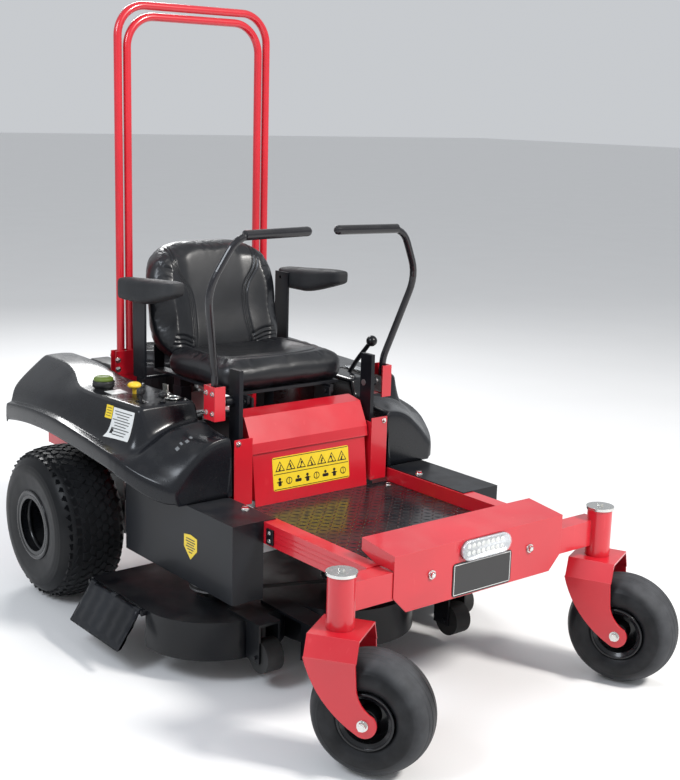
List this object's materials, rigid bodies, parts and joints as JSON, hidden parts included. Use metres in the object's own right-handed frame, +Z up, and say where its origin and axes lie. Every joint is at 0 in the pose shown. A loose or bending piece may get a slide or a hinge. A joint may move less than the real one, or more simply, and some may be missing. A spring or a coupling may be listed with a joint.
{
  "type": "riding lawn mower",
  "caption": "Zero-turn riding mower with a side-discharge cutting deck, padded seat, two steering levers, roll bar, swivelling front casters and large rear drive wheels.",
  "frame": {"origin": "Middle of the bounding box, on the ground", "axes": "+Z is up, -Y is the front of the mower, +X is the operator's left side"},
  "size_m": [1.3472, 2.2737, 1.9754],
  "materials": {
    "red_paint": "gloss powder coat",
    "black_paint": "satin powder coat",
    "zinc": "zinc plated",
    "lamp": "clear",
    "black_plastic": "moulded",
    "cast": "cast",
    "hot_steel": "plain",
    "tyre": "ribbed",
    "vinyl": "smooth vinyl",
    "belt": "plain",
    "blade_steel": "plain",
    "cap_green": "moulded",
    "knob_yellow": "moulded"
  },
  "bodies": {
    "chassis": {"frame_rails": "red_paint", "front_beam": "red_paint", "floor_plate": "black_paint", "bumper_cover": "red_paint", "headlight": "lamp", "front_panel": "red_paint", "front_cover": "red_paint", "side_guards": "black_paint", "fender_right": "black_plastic", "fender_left": "black_plastic", "roll_bar": "red_paint", "roll_bar_brackets": "red_paint", "engine_block": "cast", "engine_covers": "black_plastic", "muffler": "hot_steel", "transaxles": "cast", "battery": "black_plastic", "fuel_tank": "black_plastic", "seat_and_lever_mounts": "black_paint"},
    "crank": {"drive_pulley": "cast"},
    "caster_right": {"caster_fork_right": "red_paint", "caster_axle_right": "zinc"},
    "caster_wheel_right": {"caster_rim_right": "black_paint", "caster_tyre_right": "tyre"},
    "rear_wheel_right": {"rear_rim_right": "black_paint", "rear_tyre_right": "tyre"},
    "lever_drive_right": {"lever_pivot_right": "cast"},
    "lever_right": {"lever_bracket_right": "red_paint", "lever_tube_right": "black_paint"},
    "caster_left": {"caster_fork_left": "red_paint", "caster_axle_left": "zinc"},
    "caster_wheel_left": {"caster_rim_left": "black_paint", "caster_tyre_left": "tyre"},
    "rear_wheel_left": {"rear_rim_left": "black_paint", "rear_tyre_left": "tyre"},
    "lever_drive_left": {"lever_pivot_left": "cast"},
    "lever_left": {"lever_bracket_left": "red_paint", "lever_tube_left": "black_paint"},
    "seat": {"seat_pan": "black_paint", "seat_cushion": "vinyl", "seat_back": "vinyl"},
    "armrest_right": {"armrest_right": "black_plastic"},
    "armrest_left": {"armrest_left": "black_plastic"},
    "deck": {"deck_shell": "black_paint", "deck_fittings": "black_paint", "deck_belt": "belt"},
    "lift_shaft": {"lift_shaft": "cast"},
    "height_lever": {"height_lever": "black_paint"},
    "blade_right": {"blade_right": "blade_steel"},
    "blade_center": {"blade_center": "blade_steel"},
    "blade_left": {"blade_left": "blade_steel"},
    "chute": {"chute": "black_plastic"},
    "roller_right": {"roller_right": "tyre"},
    "roller_left": {"roller_left": "tyre"},
    "roller_front_right": {"roller_front_right": "tyre"},
    "roller_front_left": {"roller_front_left": "tyre"},
    "fuel_cap": {"fuel_cap": "cap_green"},
    "pto_knob": {"pto_knob": "knob_yellow"},
    "ignition_key": {"ignition_key": "zinc"},
    "throttle": {"throttle_lever": "black_plastic"}
  },
  "joints": [
    {"name": "caster_swivel_right", "type": "hinge", "parent": "chassis", "child": "caster_right", "pos_m": [-0.4648, -0.88947, 0.45], "axis": [0, 0, 1], "continuous": true},
    {"name": "caster_spin_right", "type": "hinge", "parent": "caster_right", "child": "caster_wheel_right", "pos_m": [-0.41319, -0.96803, 0.165], "axis": [0.8358, 0.549, 0], "continuous": true},
    {"name": "rear_spin_right", "type": "hinge", "parent": "chassis", "child": "rear_wheel_right", "pos_m": [-0.4783, 0.60753, 0.2586], "axis": [1, 0, 0], "continuous": true},
    {"name": "lever_drive_right", "type": "hinge", "parent": "chassis", "child": "lever_drive_right", "pos_m": [-0.2843, -0.06247, 0.775], "axis": [1, 0, 0], "range_deg": [-12, 14], "stiffness_Nm_per_rad": 40},
    {"name": "lever_swing_right", "type": "hinge", "parent": "lever_drive_right", "child": "lever_right", "pos_m": [-0.2933, -0.06247, 0.745], "axis": [0, -1, 0], "range_deg": [0, 28]},
    {"name": "caster_swivel_left", "type": "hinge", "parent": "chassis", "child": "caster_left", "pos_m": [0.5142, -0.88947, 0.45], "axis": [0, 0, 1], "continuous": true},
    {"name": "caster_spin_left", "type": "hinge", "parent": "caster_left", "child": "caster_wheel_left", "pos_m": [0.55333, -0.97494, 0.165], "axis": [0.9092, 0.4163, 0], "continuous": true},
    {"name": "rear_spin_left", "type": "hinge", "parent": "chassis", "child": "rear_wheel_left", "pos_m": [0.5277, 0.60753, 0.2586], "axis": [1, 0, 0], "continuous": true},
    {"name": "lever_drive_left", "type": "hinge", "parent": "chassis", "child": "lever_drive_left", "pos_m": [0.3337, -0.06247, 0.775], "axis": [1, 0, 0], "range_deg": [-12, 14], "stiffness_Nm_per_rad": 40},
    {"name": "lever_swing_left", "type": "hinge", "parent": "lever_drive_left", "child": "lever_left", "pos_m": [0.3427, -0.06247, 0.745], "axis": [0, 1, 0], "range_deg": [0, 28]},
    {"name": "seat_tilt", "type": "hinge", "parent": "chassis", "child": "seat", "pos_m": [0.0247, 0.01053, 0.745], "axis": [1, 0, 0], "range_deg": [0, 28]},
    {"name": "armrest_right_flip", "type": "hinge", "parent": "seat", "child": "armrest_right", "pos_m": [-0.2673, 0.46253, 1.06], "axis": [-1, 0, 0], "range_deg": [0, 75]},
    {"name": "armrest_left_flip", "type": "hinge", "parent": "seat", "child": "armrest_left", "pos_m": [0.3167, 0.46253, 1.06], "axis": [-1, 0, 0], "range_deg": [0, 75]},
    {"name": "deck_lift", "type": "slide", "parent": "chassis", "child": "deck", "axis": [0, 0, 1], "range_m": [-0.045, 0.025], "deforming": ["deck_belt"]},
    {"name": "lift_shaft_turn", "type": "hinge", "parent": "chassis", "child": "lift_shaft", "pos_m": [0.0247, -0.07747, 0.38], "axis": [1, 0, 0], "range_deg": [-22, 13]},
    {"name": "height_lever_turn", "type": "hinge", "parent": "chassis", "child": "height_lever", "pos_m": [0.4167, 0.20753, 0.59], "axis": [1, 0, 0], "range_deg": [-9, 15]},
    {"name": "blade_right_spin", "type": "hinge", "parent": "deck", "child": "blade_right", "pos_m": [-0.3603, -0.13747, 0.237], "axis": [0, 0, 1], "continuous": true},
    {"name": "blade_center_spin", "type": "hinge", "parent": "deck", "child": "blade_center", "pos_m": [0.0247, -0.28947, 0.237], "axis": [0, 0, 1], "continuous": true},
    {"name": "blade_left_spin", "type": "hinge", "parent": "deck", "child": "blade_left", "pos_m": [0.4097, -0.13747, 0.237], "axis": [0, 0, 1], "continuous": true},
    {"name": "crank_spin", "type": "hinge", "parent": "chassis", "child": "crank", "pos_m": [0.0247, 0.81053, 0.237], "axis": [0, 0, 1], "continuous": true},
    {"name": "chute_hinge", "type": "hinge", "parent": "deck", "child": "chute", "pos_m": [-0.5963, 0.03253, 0.19], "axis": [0, 1, 0], "range_deg": [0, 75]},
    {"name": "roller_right_spin", "type": "hinge", "parent": "deck", "child": "roller_right", "pos_m": [-0.3553, -0.41747, 0.102], "axis": [1, 0, 0], "continuous": true},
    {"name": "roller_left_spin", "type": "hinge", "parent": "deck", "child": "roller_left", "pos_m": [0.4047, -0.41747, 0.102], "axis": [1, 0, 0], "continuous": true},
    {"name": "roller_front_right_spin", "type": "hinge", "parent": "deck", "child": "roller_front_right", "pos_m": [-0.2373, -0.52347, 0.102], "axis": [1, 0, 0], "continuous": true},
    {"name": "roller_front_left_spin", "type": "hinge", "parent": "deck", "child": "roller_front_left", "pos_m": [0.2867, -0.52347, 0.102], "axis": [1, 0, 0], "continuous": true},
    {"name": "fuel_cap_off", "type": "slide", "parent": "chassis", "child": "fuel_cap", "axis": [0, 0, 1], "range_m": [0, 0.06]},
    {"name": "pto_pull", "type": "slide", "parent": "chassis", "child": "pto_knob", "axis": [0, 0, 1], "range_m": [0, 0.012]},
    {"name": "key_turn", "type": "hinge", "parent": "chassis", "child": "ignition_key", "pos_m": [-0.3273, 0.18753, 0.76], "axis": [0, 0, -1], "range_deg": [0, 90]},
    {"name": "throttle_turn", "type": "hinge", "parent": "chassis", "child": "throttle", "pos_m": [-0.4453, 0.13753, 0.737], "axis": [1, 0, 0], "range_deg": [-20, 20]}
  ],
  "couplings": [
    {"joint": "lift_shaft_turn", "follows": "deck_lift", "rad_per_m": 8.3333},
    {"joint": "height_lever_turn", "follows": "deck_lift", "rad_per_m": -5.5},
    {"joint": "blade_right_spin", "follows": "blade_center_spin", "ratio": 1},
    {"joint": "blade_left_spin", "follows": "blade_center_spin", "ratio": 1},
    {"joint": "crank_spin", "follows": "blade_center_spin", "ratio": 0.92308}
  ]
}
